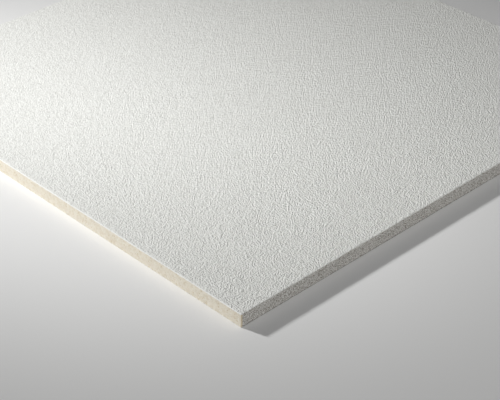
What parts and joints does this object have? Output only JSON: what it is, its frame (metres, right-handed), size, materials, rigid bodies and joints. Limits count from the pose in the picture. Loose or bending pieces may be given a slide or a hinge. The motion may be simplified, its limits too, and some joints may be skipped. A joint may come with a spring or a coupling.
{
  "type": "suspended ceiling tile",
  "caption": "Flat square mineral fibre ceiling tile with a white granular coated face, square cut edges and eased arrises, laid into an exposed T-bar grid.",
  "frame": {"origin": "centre of the sawn back, which the tile lies on", "axes": "+Z out of the coated face, +X and +Y along the two pairs of edges; the -Y and +Y edges are raw cut, the -X and +X edges are sealed with coat"},
  "size_m": [0.619, 0.619, 0.015],
  "materials": {
    "face_coat": "matte",
    "sealed_edge": "matte",
    "raw_edge": "matte"
  },
  "bodies": {
    "root": {"tile": "face_coat"}
  },
  "joints": []
}
